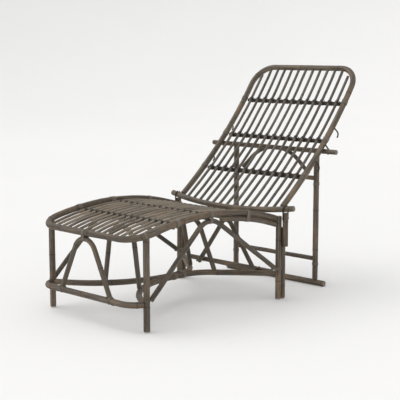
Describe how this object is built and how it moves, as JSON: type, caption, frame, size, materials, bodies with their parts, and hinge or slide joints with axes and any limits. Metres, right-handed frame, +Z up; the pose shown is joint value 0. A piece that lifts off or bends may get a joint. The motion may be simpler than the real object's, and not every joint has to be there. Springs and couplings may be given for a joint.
{
  "type": "reclining sun lounger",
  "caption": "Reclining sun lounger of bent rattan poles: arched cane seat on braced legs, cane back that tilts in iron loops, and a hooked prop stand behind it.",
  "frame": {"origin": "centre of the footprint of the whole lounger, on the floor", "axes": "+Y along the lounger from its foot end to its head end, +X across it, +Z up; the lounger is symmetric about X = 0"},
  "size_m": [0.776, 1.4722, 1.0382],
  "materials": {
    "rattan_pole": "weathered grey-brown, matte",
    "rattan_brace": "weathered grey-brown, matte",
    "rattan_crossbar": "dark brown, matte",
    "rattan_seat_cane": "weathered, worn pale, matte",
    "rattan_back_cane": "weathered grey-brown, matte",
    "peel_binding": "split peel, satin",
    "black_iron": "blackened, satin",
    "leg_glide": "pale grey, matte"
  },
  "bodies": {
    "seat": {"seat_rim": "rattan_pole", "lower_rail_left": "rattan_pole", "lower_rail_right": "rattan_pole", "rear_rail": "rattan_brace", "mid_rail": "rattan_brace", "front_leg_left": "rattan_pole", "front_leg_right": "rattan_pole", "rear_leg_left": "rattan_pole", "rear_leg_right": "rattan_pole", "rear_doubler_left": "rattan_pole", "rear_doubler_right": "rattan_pole", "pivot_post_left": "rattan_pole", "pivot_post_right": "rattan_pole", "front_stretcher": "rattan_pole", "side_stretcher_left": "rattan_pole", "side_stretcher_right": "rattan_pole", "rear_stretcher": "rattan_pole", "front_arch": "rattan_brace", "rear_arch": "rattan_brace", "side_arch_left": "rattan_brace", "side_arch_right": "rattan_brace", "front_inner_arch": "rattan_brace", "rear_inner_arch": "rattan_brace", "deck_crossbar_front": "rattan_crossbar", "deck_crossbar_middle": "rattan_crossbar", "deck_crossbar_rear": "rattan_crossbar", "deck_canes": "rattan_seat_cane", "pivot_loop_left": "black_iron", "pivot_loop_right": "black_iron", "loop_bolts": "black_iron", "leg_glides": "leg_glide", "seat_bindings": "peel_binding"},
    "back": {"back_hoop": "rattan_pole", "pivot_bar": "rattan_pole", "back_crossbar_low": "rattan_crossbar", "back_crossbar_middle": "rattan_crossbar", "back_crossbar_high": "rattan_crossbar", "back_canes": "rattan_back_cane", "hooks_left": "black_iron", "hooks_right": "black_iron", "back_bindings": "peel_binding"},
    "stand": {"stand_top_bar": "rattan_pole", "stand_post_left": "rattan_pole", "stand_post_right": "rattan_pole", "stand_brace": "rattan_brace", "stand_upper_rung": "rattan_pole", "stand_lower_rung": "rattan_pole", "stand_base_bar": "rattan_pole", "stand_bindings": "peel_binding"}
  },
  "joints": [
    {"name": "backrest_tilt", "type": "hinge", "parent": "seat", "child": "back", "pos_m": [0, 0.15, 0.412], "axis": [1, 0, 0], "range_deg": [-11, 21]},
    {"name": "stand_swing", "type": "hinge", "parent": "back", "child": "stand", "pos_m": [0, 0.45413, 0.64681], "axis": [1, 0, 0], "range_deg": [-18, 38]}
  ]
}
